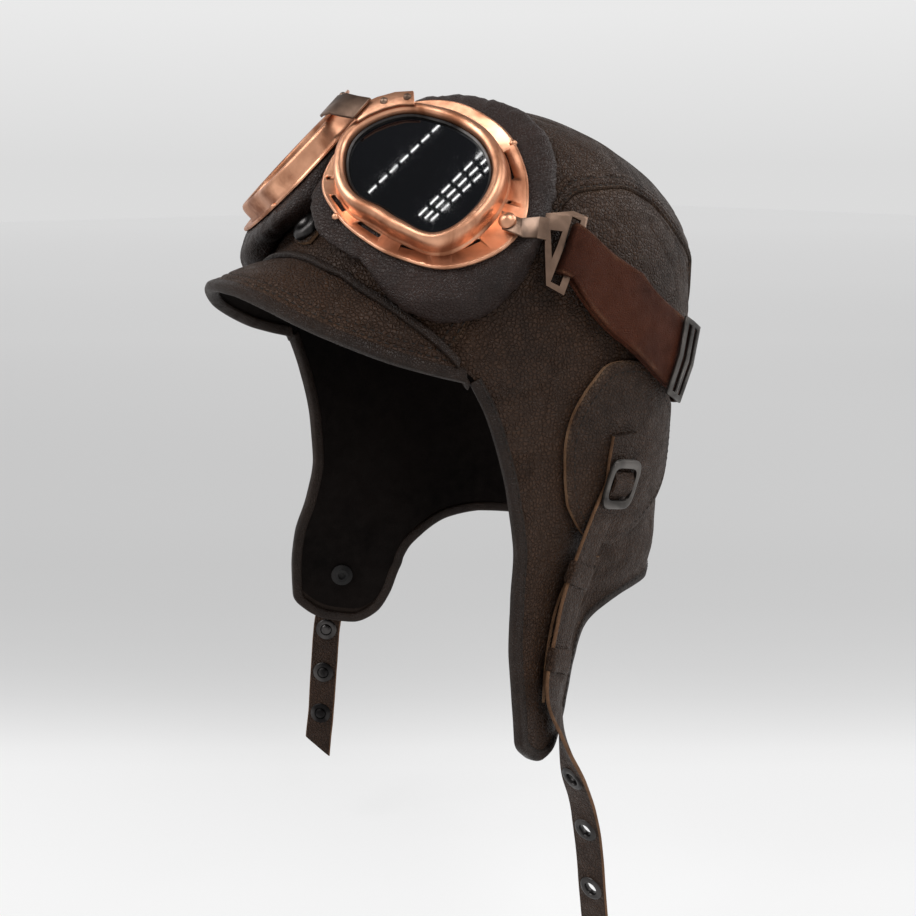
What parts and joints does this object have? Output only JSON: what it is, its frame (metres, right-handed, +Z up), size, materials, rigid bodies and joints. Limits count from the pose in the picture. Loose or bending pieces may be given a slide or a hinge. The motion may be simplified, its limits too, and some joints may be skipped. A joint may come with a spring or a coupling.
{
  "type": "leather flying helmet with goggles",
  "caption": "Soft leather flying helmet with ear flaps, chin straps and a short peak, worn with its goggles strapped up on the crown.",
  "frame": {"origin": "inside of the crown on the midline, where the top of the wearer's head sits", "axes": "+Z up, the face opening looks along -Y, +X is the wearer's left"},
  "size_m": [0.1943, 0.2149, 0.3645],
  "materials": {
    "outer_leather": "worn dark brown grain, semi-matt",
    "pad_leather": "soft creased purplish brown",
    "strap_leather": "red-brown, waxed",
    "lining": "near black, matt",
    "copper": "aged copper with dark tarnish",
    "antique_metal": "darkened antique metal",
    "dark_metal": "gunmetal, worn bright on edges",
    "dark_lens": "near black glossy lens"
  },
  "bodies": {
    "root": {"crown": "outer_leather", "crown_lining": "lining", "hem_binding": "outer_leather", "peak": "outer_leather", "peak_binding": "outer_leather", "brow_tab": "outer_leather", "brow_snap": "dark_metal", "bridge_link": "antique_metal", "goggle_strap": "strap_leather", "strap_slider": "dark_metal", "side_panel_left": "outer_leather", "side_panel_right": "outer_leather", "ear_patch_left": "outer_leather", "ear_patch_right": "outer_leather", "strap_base_left": "outer_leather", "strap_base_right": "outer_leather", "chin_strap_left": "outer_leather", "chin_strap_right": "outer_leather", "strap_keeper_upper_left": "outer_leather", "strap_keeper_upper_right": "outer_leather", "strap_keeper_lower_left": "outer_leather", "strap_keeper_lower_right": "outer_leather", "side_lining_left": "lining", "side_lining_right": "lining", "strap_buckle_left": "dark_metal", "strap_buckle_right": "dark_metal", "flap_snap_left": "dark_metal", "flap_snap_right": "dark_metal", "clip_rivet_left": "dark_metal", "clip_rivet_right": "dark_metal", "strap_eyelet_left_1": "dark_metal", "strap_eyelet_left_2": "dark_metal", "strap_eyelet_left_3": "dark_metal", "strap_eyelet_right_1": "dark_metal", "strap_eyelet_right_2": "dark_metal", "strap_eyelet_right_3": "dark_metal", "goggle_pad_left": "pad_leather", "goggle_pad_right": "pad_leather", "goggle_flange_left": "copper", "goggle_flange_right": "copper", "goggle_bezel_left": "copper", "goggle_bezel_right": "copper", "bridge_plate_left": "copper", "bridge_plate_right": "copper", "goggle_lens_left": "dark_lens", "goggle_lens_right": "dark_lens", "strap_bracket_left": "antique_metal", "strap_bracket_right": "antique_metal", "side_clip_left": "antique_metal", "side_clip_right": "antique_metal"}
  },
  "joints": []
}
